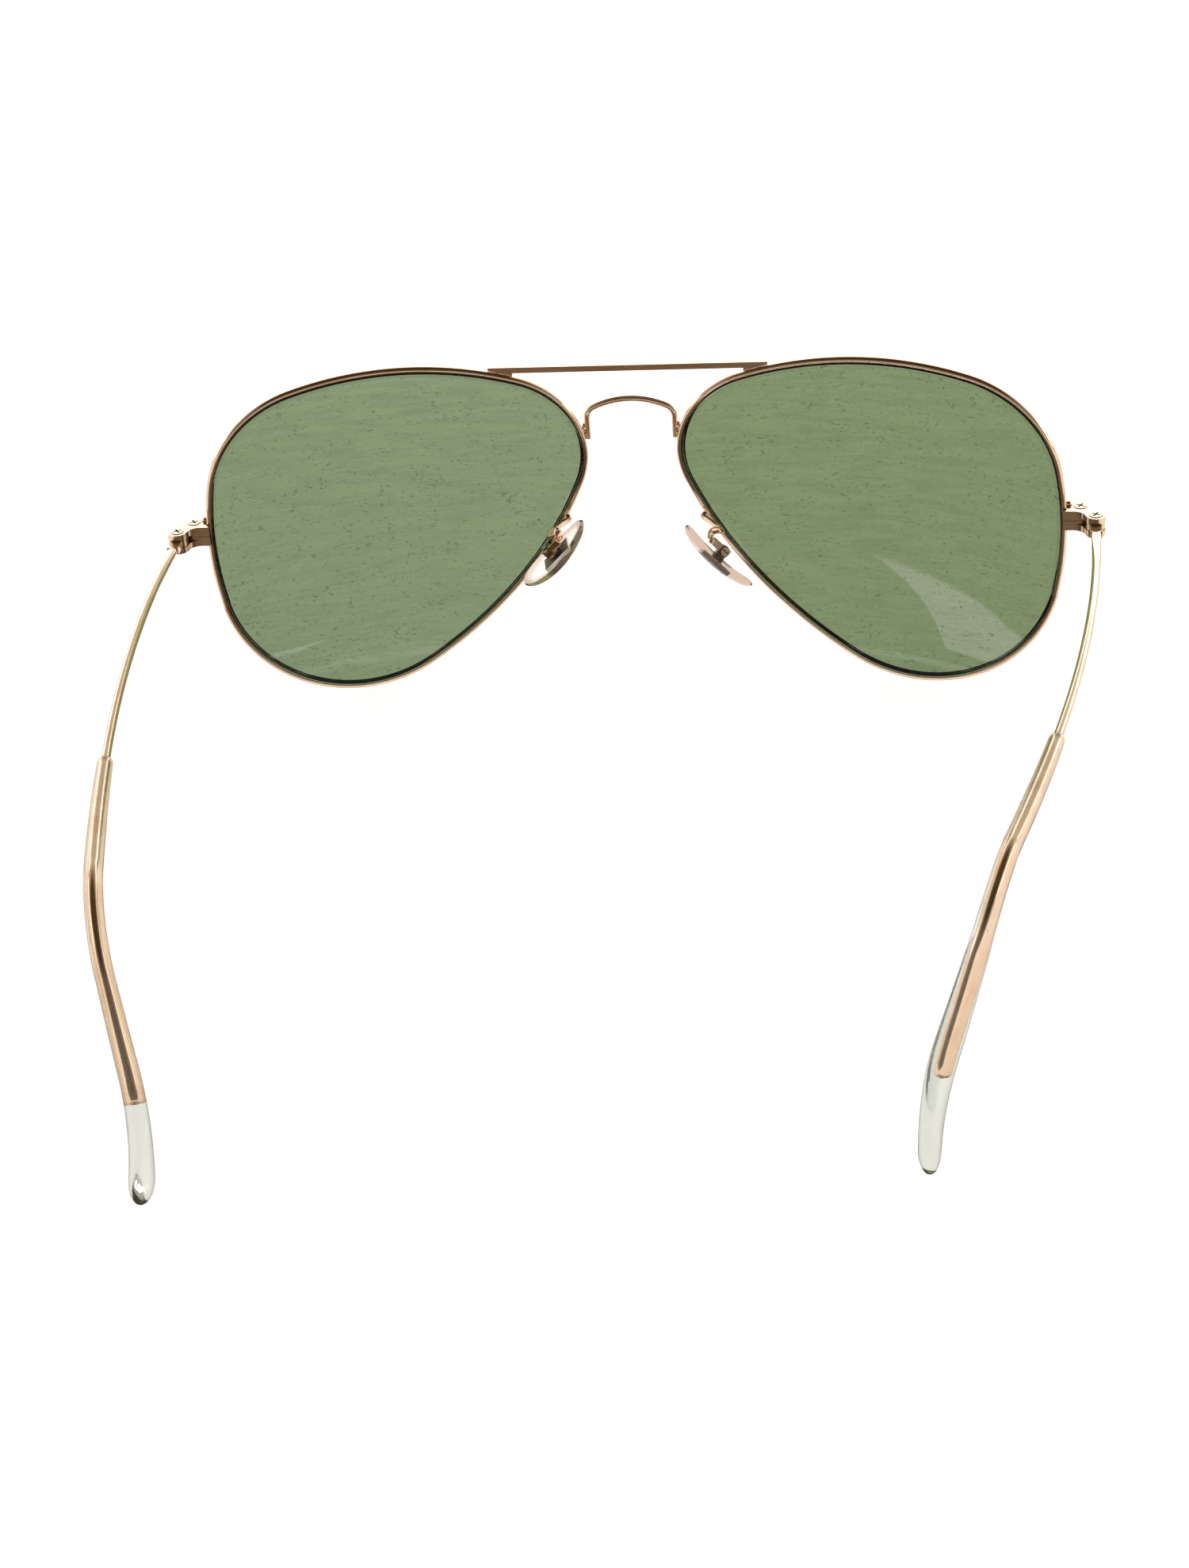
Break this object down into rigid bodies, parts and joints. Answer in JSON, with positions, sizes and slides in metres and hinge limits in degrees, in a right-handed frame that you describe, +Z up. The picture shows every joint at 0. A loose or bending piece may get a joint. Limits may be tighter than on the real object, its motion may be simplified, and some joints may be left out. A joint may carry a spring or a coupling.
{
  "type": "aviator sunglasses",
  "caption": "Open wire-frame pilot sunglasses with teardrop green glass lenses, a straight top bar over an arched bridge, screw-on nose pads and folding temples.",
  "frame": {"origin": "middle of the glasses' bounding box, on the surface that the two rims and the two temple tips rest on", "axes": "+X to the wearer's left, +Y from the lenses back towards the ears, +Z up"},
  "size_m": [0.1396, 0.1328, 0.0534],
  "materials": {
    "gold_metal": "polished",
    "screw_metal": "polished",
    "insert_metal": "satin",
    "lens_glass": "polished",
    "clear_sleeve": "gloss",
    "clear_pad": "gloss"
  },
  "bodies": {
    "front": {"rim_left": "gold_metal", "rim_right": "gold_metal", "lens_left": "lens_glass", "lens_right": "lens_glass", "top_bar": "gold_metal", "bridge": "gold_metal", "upper_block_left": "gold_metal", "upper_block_right": "gold_metal", "lower_block_left": "gold_metal", "lower_block_right": "gold_metal", "lock_screw_left": "screw_metal", "lock_screw_right": "screw_metal", "hinge_screw_left": "screw_metal", "hinge_screw_right": "screw_metal", "pad_arm_left": "gold_metal", "pad_arm_right": "gold_metal", "pad_box_left": "gold_metal", "pad_box_right": "gold_metal", "pad_screw_left": "screw_metal", "pad_screw_right": "screw_metal"},
    "temple_left": {"knuckle_left": "gold_metal", "temple_wire_left": "gold_metal", "temple_tip_left": "clear_sleeve"},
    "temple_right": {"knuckle_right": "gold_metal", "temple_wire_right": "gold_metal", "temple_tip_right": "clear_sleeve"},
    "pad_left": {"nose_pad_left": "clear_pad", "pad_insert_left": "insert_metal"},
    "pad_right": {"nose_pad_right": "clear_pad", "pad_insert_right": "insert_metal"}
  },
  "joints": [
    {"name": "left_temple_fold", "type": "hinge", "parent": "front", "child": "temple_left", "pos_m": [0.06835, -0.05139, 0.03003], "axis": [0, 0, 1], "range_deg": [0, 82]},
    {"name": "right_temple_fold", "type": "hinge", "parent": "front", "child": "temple_right", "pos_m": [-0.06835, -0.05139, 0.03003], "axis": [0, 0, -1], "range_deg": [0, 72]},
    {"name": "left_pad_rock", "type": "hinge", "parent": "front", "child": "pad_left", "pos_m": [0.01329, -0.05908, 0.0235], "axis": [0.1645, -0.9744, 0.1534], "range_deg": [-6, 6]},
    {"name": "right_pad_rock", "type": "hinge", "parent": "front", "child": "pad_right", "pos_m": [-0.01333, -0.06037, 0.02206], "axis": [0.2975, -0.9135, -0.2774], "range_deg": [-6, 6]}
  ]
}
